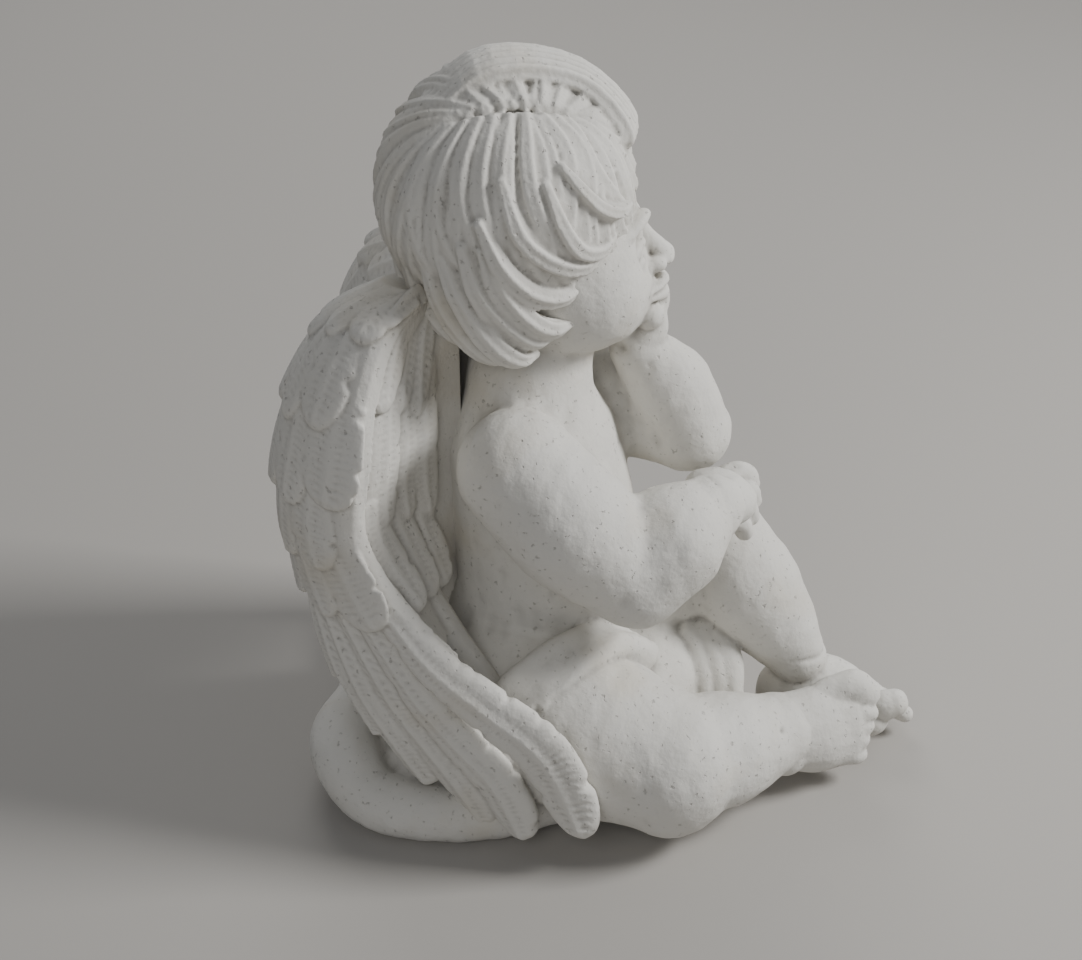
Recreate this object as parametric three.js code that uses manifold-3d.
// A seated putto, a winged child that rests its chin on its left hand, cast in stone as one solid.
// Millimetres, +Z up. The child faces -Y, so its right side is at -X. The origin is the middle of the
// footprint, on the ground.
import * as THREE from "three";
import { mergeVertices } from "three/addons/utils/BufferGeometryUtils.js";
import Module from "manifold-3d";

// Driving dimensions.
const STATUE_HEIGHT = 355; // ground to the top of the hair
const CANON = 355; // the figure's height in parts; every place and size below is in parts
const PART = STATUE_HEIGHT / CANON; // one part in millimetres
const FOOTPRINT_MIDDLE = new THREE.Vector3(0, -28.65, 0); // the middle of the figure's extent, in parts
const STONE = { color: 0xd8d4c8, roughness: 0.9, metalness: 0 };

const { sin, cos, PI, abs, max, min } = Math;
const RIGHT = -1; // the child's right side is at -X
const LEFT = 1;
const UP = new THREE.Vector3(0, 0, 1);
const OUTWARD = new THREE.Vector3(-1, 0, 0);
const at = (x, y, z) => new THREE.Vector3(x, y, z);
const radians = THREE.MathUtils.degToRad;
const mix = THREE.MathUtils.lerp;

const wasm = await Module();
wasm.setup();

// ---------------------------------------------------------------- shaping tools

/** The closed geometry as a solid that can be joined and cut. */
function solidOf(geometry) {
  geometry.deleteAttribute("normal");
  geometry.deleteAttribute("uv");
  const merged = mergeVertices(geometry, 1e-4);
  return new wasm.Manifold(
    new wasm.Mesh({
      numProp: 3,
      vertProperties: merged.getAttribute("position").array,
      triVerts: new Uint32Array(merged.index.array),
    }),
  );
}

/** A value read from evenly spaced stations, eased from one to the next. */
function reading(stations, t) {
  const place = THREE.MathUtils.clamp(t, 0, 1) * (stations.length - 1);
  const index = min(Math.floor(place), stations.length - 2);
  const share = THREE.MathUtils.smoothstep(place - index, 0, 1);
  return mix(stations[index], stations[index + 1], 0.5 * (share + place - index));
}

/** An ellipsoid, turned by Euler angles in degrees. */
function ball(centre, radii, { turn = [0, 0, 0], sides = 14, rings = 10 } = {}) {
  const geometry = new THREE.SphereGeometry(1, sides, rings);
  geometry.rotateX(PI / 2);
  geometry.scale(...radii);
  geometry.rotateX(radians(turn[0]));
  geometry.rotateY(radians(turn[1]));
  geometry.rotateZ(radians(turn[2]));
  return geometry.translate(centre.x, centre.y, centre.z);
}

/**
 * A stroke of clay: a closed tube of elliptical section along a smooth curve.
 * width and depth are half sizes at evenly spaced stations, depth being measured along up. Round ends
 * have a cap, and a pointed end closes on the last point of the path.
 */
function stroke({ path, width, depth = width, up = UP, sides = 8, rings = 8, caps = 2 }) {
  const curve = new THREE.CatmullRomCurve3(path, false, "centripetal");
  const geometry = new THREE.SphereGeometry(1, sides, rings);
  const position = geometry.getAttribute("position");
  for (let i = 0; i < position.count; i++) {
    const p = at(position.getX(i), position.getY(i), position.getZ(i));
    const ring = Math.round((Math.acos(THREE.MathUtils.clamp(p.y, -1, 1)) / PI) * rings);
    const across = Math.hypot(p.x, p.z) || 1;
    const t = THREE.MathUtils.clamp((ring - caps) / (rings - 2 * caps), 0, 1);
    const first = caps ? min(ring / caps, 1) : 1;
    const last = caps ? min((rings - ring) / caps, 1) : 1;
    const swell = ring === 0 || ring === rings ? 0 : sin((min(first, last) * PI) / 2);
    const centre = curve.getPoint(t);
    const forward = curve.getTangent(t);
    const raised = typeof up === "function" ? up(t, centre) : up;
    const side = at(0, 0, 0).crossVectors(raised, forward).normalize();
    const normal = at(0, 0, 0).crossVectors(forward, side);
    const [half, deep] = [reading(width, t), reading(depth, t)];
    const reach = cos((min(first, last) * PI) / 2) * min(half, deep);
    centre.addScaledVector(forward, first < last ? -reach : reach);
    centre.addScaledVector(side, (p.x / across) * half * swell);
    centre.addScaledVector(normal, (p.z / across) * deep * swell);
    position.setXYZ(i, centre.x, centre.y, centre.z);
  }
  return geometry;
}

// ---------------------------------------------------------------- the child's body

const BACKWARD = at(0, 1, 0);
const SHOULDERS = { x: 45, y: 7, z: 181 };
const RIGHT_ELBOW = at(-50, -49, 133);
const RIGHT_WRIST = at(-18, -78, 155);
const LEFT_ELBOW = at(33, -60, 164);
const LEFT_WRIST = at(32, -33, 207);
const RIGHT_KNEE = at(-64, -69, 40);
const RIGHT_ANKLE = at(-24, -116, 34);
const LEFT_KNEE = at(27, -76, 106);
const LEFT_ANKLE = at(24, -120, 46);

/** Trunk from the seat to the neck. */
function trunk() {
  return [
    stroke({
      path: [
        at(0, 26, 12),
        at(0, 24, 50),
        at(0, 5, 90),
        at(0, 5, 134),
        at(1, 10, 172),
        at(3, 12, 197),
        at(8, 10, 224),
      ],
      width: [46, 52, 46, 43, 46, 33, 28],
      depth: [40, 46, 45, 43, 38, 31, 28],
      up: BACKWARD,
      sides: 12,
      rings: 9,
    }),
  ];
}

/** The right arm crosses the lap, and its hand lies on the left knee. */
function rightArm() {
  return [
    stroke({
      path: [at(-SHOULDERS.x, SHOULDERS.y, SHOULDERS.z), at(-54, -20, 160), RIGHT_ELBOW],
      width: [28, 29, 23],
      rings: 8,
      sides: 10,
    }),
    stroke({
      path: [RIGHT_ELBOW, at(-37, -64, 149), RIGHT_WRIST],
      width: [23, 26, 17],
      rings: 7,
      sides: 9,
    }),
    stroke({
      path: [RIGHT_WRIST, at(-5, -80, 153), at(8, -81, 147)],
      width: [15, 18, 16],
      depth: [14, 13, 10],
      up: at(-0.45, -0.1, 0.9),
      sides: 8,
      rings: 6,
    }),
    ...fingersOverKnee(),
  ];
}

/** Four fingers from the little one to the first, which bend down over the knee. */
function fingersOverKnee() {
  return [0, 1, 2, 3].map((i) => {
    const knuckle = at(-3 + 6.5 * i, -81 - (i === 1 || i === 2 ? 2 : 0), 137 + 5 * i);
    return stroke({
      path: [knuckle, knuckle.clone().add(at(3, -8, 0)), knuckle.clone().add(at(5, -11, -7))],
      width: [5.6, 5.2, 4.6],
      rings: 4,
      sides: 5,
      caps: 1,
    });
  });
}

/** The left arm stands on the back of the right hand, and its hand holds the left cheek. */
function leftArm() {
  return [
    stroke({
      path: [at(SHOULDERS.x, SHOULDERS.y, SHOULDERS.z), at(47, -28, 169), LEFT_ELBOW],
      width: [27, 26, 20],
      sides: 9,
      rings: 7,
    }),
    stroke({
      path: [LEFT_ELBOW, at(32, -49, 188), LEFT_WRIST],
      width: [19, 20, 14],
      up: BACKWARD,
      sides: 9,
      rings: 7,
    }),
    stroke({
      path: [LEFT_WRIST, at(33, -33, 217), at(34, -32, 229)],
      width: [12, 15, 14],
      depth: [12, 11, 10],
      up: OUTWARD,
      sides: 8,
      rings: 6,
    }),
    ...fingersOnCheek(),
  ];
}

/** Four fingers curled against the left cheek. */
function fingersOnCheek() {
  return [0, 1, 2, 3].map((i) =>
    stroke({
      path: [
        at(36 + i, -41 + i * 5.5, 222 + i * 2),
        at(37 + i, -43 + i * 6, 232 + i * 2.5),
        at(34 + i, -42 + i * 6, 240 + i * 2.5),
      ],
      width: [4.6, 4.6, 4],
      up: OUTWARD,
      rings: 4,
      sides: 4,
      caps: 1,
    }),
  );
}

/** The left leg is drawn up, so that its knee carries the right hand. */
function leftLeg() {
  return [
    stroke({
      path: [at(32, 0, 46), at(29, -44, 78), LEFT_KNEE],
      width: [36, 33, 25],
      sides: 10,
      rings: 7,
    }),
    stroke({
      path: [LEFT_KNEE, at(24, -94, 82), at(24, -109, 62), LEFT_ANKLE],
      width: [25, 26, 20, 15],
      sides: 9,
      rings: 8,
    }),
    stroke({
      path: [at(24, -116, 20), at(25, -134, 25), at(28, -158, 15)],
      width: [15, 18, 18],
      depth: [20, 19, 11],
      sides: 9,
      rings: 6,
    }),
    stroke({
      path: [at(22, -154, 20), at(21, -164, 23), at(22, -170, 25)],
      width: [8, 8, 7.5],
      rings: 5,
      sides: 6,
      caps: 1,
    }),
    ...[0, 1, 2, 3].map((i) =>
      stroke({
        path: [
          at(30 + i * 6, -162 + i * 4, 14 - i),
          at(31 + i * 6, -171 + i * 4.5, 14 - i),
          at(31 + i * 6, -176 + i * 5.5, 12 - i),
        ],
        width: [5, 5, 4.6],
        rings: 4,
        sides: 5,
        caps: 1,
      }),
    ),
  ];
}

/** The right leg lies on the ground, its foot on the outer edge in front of the left heel. */
function rightLeg() {
  return [
    stroke({
      path: [at(-40, 14, 48), at(-58, -32, 46), RIGHT_KNEE],
      width: [44, 39, 34],
      sides: 11,
      rings: 8,
    }),
    stroke({
      path: [RIGHT_KNEE, at(-45, -93, 37), RIGHT_ANKLE],
      width: [29, 27, 20],
      sides: 10,
      rings: 7,
    }),
    stroke({
      path: [RIGHT_ANKLE, at(-14, -134, 31), at(-6, -147, 30)],
      width: [19, 22, 21],
      depth: [17, 15, 12],
      up: at(-0.85, -0.35, 0.35),
      sides: 9,
      rings: 6,
    }),
    stroke({
      path: [at(-6, -136, 46), at(0, -148, 49), at(3, -156, 44)],
      width: [8, 8.5, 7.5],
      rings: 5,
      sides: 6,
      caps: 1,
    }),
    ...[0, 1, 2, 3].map((i) =>
      stroke({
        path: [
          at(-7 - i * 2.4, -144 - i, 38 - i * 7.2),
          at(-5 - i * 2.2, -154 - i * 0.5, 38 - i * 7.2),
          at(-2 - i * 2.2, -159 + i * 1.2, 36 - i * 6.8),
        ],
        width: [4.8, 4.9, 4.4],
        rings: 4,
        sides: 5,
        caps: 1,
      }),
    ),
  ];
}

// ---------------------------------------------------------------- the head

const HEAD = { centre: at(12, 15, 283), yaw: 25, roll: 8, nod: -6 };
const headPlace = new THREE.Matrix4().compose(
  HEAD.centre,
  new THREE.Quaternion().setFromEuler(
    new THREE.Euler(radians(HEAD.nod), radians(HEAD.roll), radians(HEAD.yaw), "ZYX"),
  ),
  at(1, 1, 1),
);
const SKULL = { centre: at(0, -9, -18), radii: at(44, 42, 51) };
// Swellings of the face: where, how far it stands out, how wide it is.
const SWELLINGS = [
  { middle: at(-28, -28, -46), height: 9, reach: 23 }, // cheeks
  { middle: at(28, -28, -46), height: 9, reach: 23 },
  { middle: at(0, -36, -62), height: 9, reach: 13 }, // chin
  { middle: at(0, -47, -46), height: 8, reach: 13 }, // mouth
  { middle: at(-19, -46, -24), height: -6, reach: 10 }, // eye sockets
  { middle: at(19, -46, -24), height: -6, reach: 10 },
];

/** Skull with its cheeks, chin and brow, in the head's own axes. */
function skull() {
  const geometry = ball(SKULL.centre, SKULL.radii.toArray(), { sides: 18, rings: 13 });
  const position = geometry.getAttribute("position");
  for (let i = 0; i < position.count; i++) {
    const p = at(position.getX(i), position.getY(i), position.getZ(i));
    const outward = p.clone().sub(SKULL.centre).normalize();
    let lift = 0;
    for (const { middle, height, reach } of SWELLINGS)
      lift += height * Math.exp(-p.distanceToSquared(middle) / (reach * reach));
    p.addScaledVector(outward, lift);
    position.setXYZ(i, p.x, p.y, p.z);
  }
  return geometry;
}

/** Nose, lips and the lids of the lowered eyes, in the head's own axes. */
function features() {
  return [
    stroke({
      path: [at(0, -46, -12), at(0, -52, -24), at(0, -62, -34)],
      width: [5, 5, 6],
      sides: 6,
      rings: 5,
      caps: 1,
    }),
    ball(at(0, -55, -36), [10, 6, 4.5], { sides: 6, rings: 5 }),
    stroke({
      path: [at(-12, -51, -48), at(0, -60, -46), at(12, -51, -48)],
      width: [2.5, 4, 2.5],
      sides: 5,
      rings: 5,
      caps: 1,
    }),
    stroke({
      path: [at(-10, -50, -54), at(0, -57, -54), at(10, -50, -54)],
      width: [2.5, 4, 2.5],
      sides: 5,
      rings: 5,
      caps: 1,
    }),
    ...[RIGHT, LEFT].map((side) =>
      stroke({
        path: [at(side * 10, -46, -24), at(side * 18, -43, -22), at(side * 26, -36, -24)],
        width: [2, 5, 2],
        sides: 5,
        rings: 5,
        caps: 1,
      }),
    ),
  ];
}

// ---------------------------------------------------------------- the hair

const HAIR = { centre: at(0, 7, 9), radii: at(52, 54, 56) }; // in the head's own axes
const PARTING = { from: at(-24, 32, 50), to: at(-32, -24, 44), relief: 3, locks: 18 };

/** The point of the hair's surface in a direction from its middle, lifted by some parts. */
function onHair(direction, lift = 0) {
  const d = direction.clone().normalize();
  return d.clone().multiply(HAIR.radii).addScaledVector(d, lift).add(HAIR.centre);
}

// How far the hair reaches from the parting, in degrees: at the brow, the right ear, the nape, the left ear.
const HAIRLINE = [42, 112, 118, 142];

/** The hair's reach towards a bearing, which starts at the brow and turns by the right ear. */
function hairline(bearing) {
  const place = ((bearing / (2 * PI)) * 4 + 4) % 4;
  const index = Math.floor(place);
  return mix(HAIRLINE[index], HAIRLINE[(index + 1) % 4], THREE.MathUtils.smoothstep(place - index, 0, 1));
}

/** The mass of hair: a cap whose alternate meridians stand proud as locks that fall from the parting. */
function hairMass() {
  const sides = 2 * PARTING.locks;
  const rings = 9;
  const geometry = new THREE.SphereGeometry(1, sides, rings);
  const position = geometry.getAttribute("position");
  for (let i = 0; i < position.count; i++) {
    const column = (sides - (i % (sides + 1))) % sides;
    const ring = Math.floor(i / (sides + 1));
    const bearing = (column / sides) * 2 * PI;
    const forwards = ring === 0 ? 0.5 : 0.5 + 0.5 * cos(bearing);
    const crown = PARTING.from.clone().lerp(PARTING.to, forwards);
    const pole = crown.sub(HAIR.centre).normalize();
    const level = at(-sin(bearing), -cos(bearing), 0);
    const t = min(ring / (rings - 2), 1);
    const proud = column % 2 === 0 ? 1 : -1;
    const ragged = (proud > 0 ? 12 : 2) * (0.6 + 0.4 * sin(column * 2.4)) * t ** 5;
    const reach = radians(hairline(bearing) * t + ragged);
    const axis = at(0, 0, 0).crossVectors(pole, level).normalize();
    const direction = pole.clone().applyAxisAngle(axis, reach);
    direction.applyAxisAngle(pole, (0.5 * t ** 3 - 0.12 * sin(PI * t)) * sin(bearing));
    const relief = proud * PARTING.relief * min(1, 2.5 * t) - (t === 1 ? 3 : 0);
    const p = onHair(direction, relief);
    if (ring === rings - 1) p.lerp(at(0, -4, -10), 0.4);
    if (ring === rings) p.set(0, -4, -14);
    position.setXYZ(i, p.x, p.y, p.z);
  }
  return geometry;
}

/** One lock laid on the hair through some bearings, which are directions from the hair's middle. */
function lock(directions, { width = 6, depth = 4, lift = 0, tip = 2, sides = 5, rings = 6 } = {}) {
  const last = directions.length - 1;
  return stroke({
    path: directions.map((d, i) => onHair(d, lift + tip * (i / last) ** 2)),
    width: [width * 0.6, width, width, width * 0.7, width * 0.3],
    depth: [depth * 0.6, depth, depth, depth * 0.8, depth * 0.4],
    up: (t, p) => p.clone().sub(HAIR.centre),
    sides,
    rings,
    caps: 1,
  });
}

// Locks of the right side, each from its root to its hooked tip; the left side mirrors them.
const SIDE_LOCKS = [
  { path: [at(-52, 30, 2), at(-51, 26, -16), at(-46, 14, -36), at(-40, -1, -44)], width: 9 },
  { path: [at(-38, 46, 0), at(-42, 41, -22), at(-42, 31, -44), at(-36, 16, -56)], width: 10 },
];

/** The locks that fall beside the ear and hook forward over the cheek. */
function sideLocks(side) {
  return SIDE_LOCKS.map(({ path, width }) =>
    stroke({
      path: path.map((p) => at(side * -p.x, p.y, p.z)),
      width: [width * 0.6, width, width * 0.9, width * 0.35],
      depth: [4, 6.5, 6.5, 3],
      up: (t, p) => p.clone().sub(HAIR.centre),
      sides: 5,
      rings: 6,
      caps: 1,
    }),
  );
}

/** The forelock, rolled over from the parting to a curl above the brow. */
function forelock() {
  return [0, 1].map((i) =>
    lock(
      [
        at(-12 + i * 18, 34 - i * 4, 50 + i),
        at(-8 + i * 22, 2 - i * 2, 55 + i),
        at(-10 + i * 18, -34, 42),
        at(-20 + i * 18, -52, 22),
      ],
      { width: 15, depth: 8, lift: 0, tip: 7, rings: 7, sides: 6 },
    ),
  );
}

function hair() {
  return [hairMass(), ...sideLocks(RIGHT), ...sideLocks(LEFT), ...forelock()];
}

// ---------------------------------------------------------------- the wings

// Guide lines of a wing from top to bottom: leading edge, rearmost line, and the line beside the spine.
const WING = {
  lead: [
    at(36, 50, 258),
    at(60, 60, 250),
    at(75, 66, 226),
    at(85, 68, 194),
    at(88, 71, 164),
    at(90, 60, 140),
    at(93, 42, 120),
    at(95, 24, 104),
  ],
  back: [
    at(28, 70, 258),
    at(42, 92, 243),
    at(52, 106, 214),
    at(56, 112, 184),
    at(56, 112, 154),
    at(58, 106, 128),
    at(61, 98, 106),
    at(65, 88, 84),
  ],
  spine: [
    at(3, 58, 252),
    at(4, 78, 238),
    at(4, 91, 212),
    at(4, 97, 182),
    at(4, 99, 158),
    at(5, 99, 136),
    at(6, 97, 120),
    at(8, 94, 106),
  ],
};
const COVERTS = { rows: 5, perRow: 4, relief: 7, end: 0.82 };
const VENTRAL = { rows: 3, relief: 3.5 };
// Bends and tips of the flight feathers with their half widths, from the longest to the spine.
const FLIGHT = [
  { bends: [at(94, 36, 104), at(98, 8, 84), at(101, -17, 66)], tip: at(101, -38, 20), half: 14 },
  { bends: [at(91, 44, 84), at(95, 22, 60), at(97, 5, 42)], tip: at(97, -9, 11), half: 12 },
  { bends: [at(86, 56, 76), at(90, 38, 54), at(92, 25, 38)], tip: at(92, 10, 13), half: 12 },
  { bends: [at(80, 72, 76), at(84, 58, 56)], tip: at(86, 38, 28), half: 12.5 },
  { bends: [at(73, 84, 82), at(77, 75, 68)], tip: at(80, 63, 49), half: 12.5 },
  { bends: [at(60, 96, 96)], tip: at(66, 86, 68), half: 13 },
  { bends: [at(44, 103, 104)], tip: at(49, 98, 80), half: 14 },
  { bends: [at(24, 103, 110)], tip: at(28, 99, 90), half: 15 },
];

/** A wing's back: u runs from the leading edge to the spine, v from the top to the bottom. */
function wingSheet(side) {
  const [lead, back, spine] = [WING.lead, WING.back, WING.spine].map(
    (line) => new THREE.CatmullRomCurve3(line.map((p) => at(side * p.x, p.y, p.z))),
  );
  const place = (u, v) => {
    const t = THREE.MathUtils.clamp(v, 0, 1);
    const p = lead.getPoint(t).multiplyScalar((1 - u) * (1 - 2 * u));
    p.addScaledVector(back.getPoint(t), 4 * u * (1 - u));
    return p.addScaledVector(spine.getPoint(t), u * (2 * u - 1));
  };
  const normal = (u, v) => {
    const [a, b] = [max(u - 0.02, 0), min(u + 0.02, 1)];
    const [c, d] = [max(v - 0.02, 0), min(v + 0.02, 1)];
    const du = place(b, v).sub(place(a, v));
    const dv = place(u, d).sub(place(u, c));
    return dv.cross(du).multiplyScalar(side).normalize();
  };
  return { lead, place, normal };
}

/** How a row of scales stands out: from nothing at its root to a rounded tip, with a ridge down each. */
function scale(position, ridge, relief) {
  return relief * (0.15 + 0.85 * position) + (ridge ? 1.6 : -0.8) * (0.4 + 0.6 * position);
}

/**
 * The body of a wing: a box bent onto the sheet. Its back carries rows of overlapping coverts, and its
 * inner face runs in from the leading edge to the child's back.
 */
function wingBody(side, sheet) {
  const columns = 2 * COVERTS.perRow;
  const lines = 2 * COVERTS.rows;
  const geometry = new THREE.BoxGeometry(1, 1, 1, columns, lines, 1);
  const position = geometry.getAttribute("position");
  for (let i = 0; i < position.count; i++) {
    const column = Math.round((0.5 + position.getX(i) * side) * columns);
    const line = Math.round((0.5 - position.getY(i)) * lines);
    const u = column / columns;
    const p = position.getZ(i) > 0 ? covertPoint(sheet, column, line) : ventralPoint(side, sheet, u, line / lines);
    position.setXYZ(i, p.x, p.y, p.z);
  }
  return geometry;
}

/** A point of the scaled back: each row rises to rounded tips, with a ridge down each feather. */
function covertPoint(sheet, column, line) {
  const columns = 2 * COVERTS.perRow;
  const row = min(Math.floor(line / 2), COVERTS.rows - 1);
  const stage = line === 2 * COVERTS.rows ? 2 : line % 2;
  const within = [0.04, 0.96, 1][stage];
  const ridge = (column + row) % 2 === 1 && column < columns ? 1 : -1;
  const rounded = stage === 1 && column > 0 && column < columns ? 0.02 * ridge : 0;
  const v = line === 0 ? 0 : COVERTS.end * ((row + within) / COVERTS.rows + rounded);
  const u = column / columns;
  const lift = COVERTS.relief * within + 1.8 * ridge * (0.4 + 0.6 * within);
  return sheet.place(u, v).addScaledVector(sheet.normal(u, v), column === 0 ? 0.3 * lift : lift);
}

/** A point of the inner face, which is slightly hollow and has a few rows of feathers. */
function ventralPoint(side, sheet, u, v) {
  const level = 0.98 * v;
  const inward = u ** 0.8;
  const edge = sheet.lead.getPoint(level);
  const p = edge.clone().lerp(at(side * 14, 40, edge.z - 4), inward);
  const step = VENTRAL.relief * (((v * VENTRAL.rows) % 1) - 0.5) * sin(PI * u);
  p.addScaledVector(at(side * 0.45, -0.9, 0), step - 6 * sin(PI * inward));
  return u === 0 ? p.add(at(side * -5, -4, 0)) : p;
}

/** A long feather of flat section with a raised shaft along its middle and a rounded tip. */
function flightFeather(path, up, half) {
  return stroke({
    path,
    width: [half * 0.6, half, half, half * 0.9],
    depth: [5, 7, 6.5, 5],
    up,
    sides: 4,
    rings: path.length + 2,
    caps: 1,
  });
}

/** The flight feathers, fanned from under the coverts to their tips. */
function flightFeathers(side, sheet) {
  const last = FLIGHT.length - 1;
  return FLIGHT.map(({ bends, tip, half }, i) => {
    const u = 0.07 + (0.8 * i) / last;
    const root = sheet.place(u, 0.7).addScaledVector(sheet.normal(u, 0.7), -5);
    const points = [root, ...[...bends, tip].map((p) => at(side * p.x, p.y, p.z))];
    const up = at(side * mix(1, 0.1, i / last), mix(0.15, 1, i / last), mix(0.25, 0, i / last));
    return flightFeather(points, up.normalize(), half);
  });
}

/** The stone between the hip and the long feathers, which carries their tips. */
function wingBacking(side) {
  return stroke({
    path: [at(side * 60, 62, 100), at(side * 74, 40, 76), at(side * 82, 8, 50), at(side * 84, -22, 34)],
    width: [26, 28, 24, 12],
    depth: [18, 16, 13, 10],
    up: at(side, 0, 0.3),
    sides: 7,
    rings: 7,
  });
}

function wing(side) {
  const sheet = wingSheet(side);
  return [wingBody(side, sheet), ...flightFeathers(side, sheet), wingBacking(side)];
}

// ---------------------------------------------------------------- the cloth

/** The cloth that the child sits on: a low mass with a rolled hem along the ground. */
function seatCloth() {
  return [
    ball(at(0, 36, 10), [90, 60, 36], { sides: 14, rings: 6 }),
    ball(at(-4, -44, 46), [34, 34, 28], { sides: 8, rings: 6 }),
    stroke({
      path: [
        at(-70, -20, 12),
        at(-84, 8, 12),
        at(-91, 38, 12),
        at(-88, 70, 14),
        at(-67, 89, 24),
        at(-20, 95, 15),
        at(24, 95, 14),
        at(64, 88, 17),
        at(88, 60, 12),
        at(89, 24, 12),
        at(68, -12, 14),
      ],
      width: [10, 13, 14, 15, 18, 14, 14, 16, 14, 14, 12],
      sides: 7,
      rings: 14,
    }),
  ];
}

/** Folds that cross the right hip and thigh, and the end that falls between the legs. */
function lapCloth() {
  const folds = [0, 1, 2].map((i) =>
    stroke({
      path: [
        at(-86 + i * 3, 14 - i * 12, 66 + i * 4),
        at(-74 + i * 6, 0 - i * 12, 84 + i * 1),
        at(-54 + i * 7, -18 - i * 10, 91 - i * 3),
        at(-30 + i * 2, -34 - i * 8, 84 - i * 6),
      ],
      width: [6, 8, 9, 9],
      depth: [5, 6, 7, 8],
      sides: 5,
      rings: 6,
      caps: 1,
    }),
  );
  const fall = [0, 1].map((i) =>
    stroke({
      path: [at(4 + i * 4, -66 - i * 8, 66), at(-4 + i * 5, -74 - i * 13, 54), at(-14 + i * 6, -80 - i * 12, 36)],
      width: [10, 11, 8],
      depth: [9, 9, 7],
      sides: 6,
      rings: 5,
      caps: 1,
    }),
  );
  return [...folds, ...fall];
}

// ---------------------------------------------------------------- the casting

/** Joins closed geometries into one solid, with no bubble left sealed where several of them meet. */
function joined(geometries) {
  const whole = geometries.map(solidOf).reduce((sum, piece) => sum.add(piece));
  return whole.decompose().reduce((most, shell) => (shell.volume() > most.volume() ? shell : most));
}

/** The whole figure, cut flat on the ground and placed over the middle of its footprint. */
function casting() {
  const head = [skull(), ...features(), ...hair()];
  const body = joined([
    ...trunk(),
    ...rightArm(),
    ...leftArm(),
    ...leftLeg(),
    ...rightLeg(),
    ...head.map((geometry) => geometry.applyMatrix4(headPlace)),
    ...seatCloth(),
    ...lapCloth(),
    ...wing(RIGHT),
    ...wing(LEFT),
  ]);
  const ground = new THREE.BoxGeometry(2 * CANON, 2 * CANON, CANON).translate(0, 0, -CANON / 2);
  const mesh = body.subtract(solidOf(ground)).getMesh();
  const geometry = new THREE.BufferGeometry();
  geometry.setAttribute("position", new THREE.BufferAttribute(mesh.vertProperties, 3));
  geometry.setIndex(new THREE.BufferAttribute(mesh.triVerts, 1));
  geometry.translate(-FOOTPRINT_MIDDLE.x, -FOOTPRINT_MIDDLE.y, 0).scale(PART, PART, PART);
  geometry.computeVertexNormals();
  return geometry;
}

const statue = new THREE.Mesh(casting(), new THREE.MeshStandardMaterial(STONE));
statue.name = "putto_statue";
const figure = new THREE.Group();
figure.add(statue);

export default figure;
